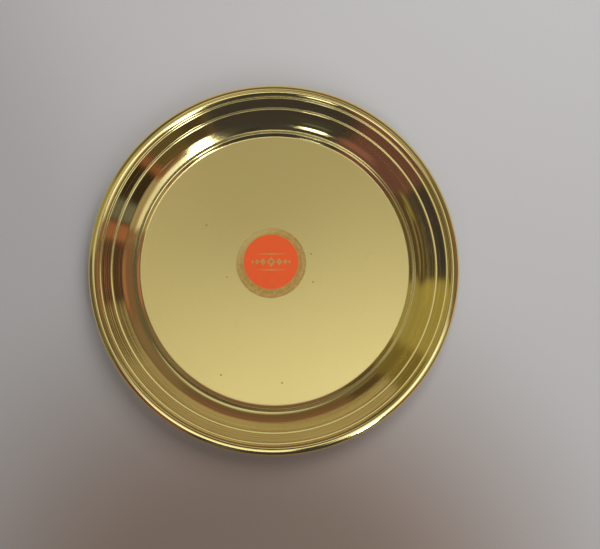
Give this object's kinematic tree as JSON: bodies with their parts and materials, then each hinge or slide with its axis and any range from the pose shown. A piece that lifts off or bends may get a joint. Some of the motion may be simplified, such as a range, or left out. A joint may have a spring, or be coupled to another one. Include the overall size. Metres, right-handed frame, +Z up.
{
  "type": "paten plate",
  "caption": "Shallow round brass plate with a flat satin floor, a flared stepped wall, a rolled bead rim and a round label in the middle of the floor.",
  "frame": {"origin": "middle of the underside of the floor, where the plate rests", "axes": "+Z up along the plate's axis; +X and +Y lie in the resting plane, and the label is stuck a little towards +Y of the middle"},
  "size_m": [0.15, 0.15, 0.0124],
  "materials": {
    "brass_sheet": "polished",
    "steel_wire": "satin",
    "gold_foil": "satin",
    "orange_print": "gloss"
  },
  "bodies": {
    "root": {"dish": "brass_sheet", "rim_wire": "steel_wire", "label_foil": "gold_foil", "label_face": "orange_print"}
  },
  "joints": []
}
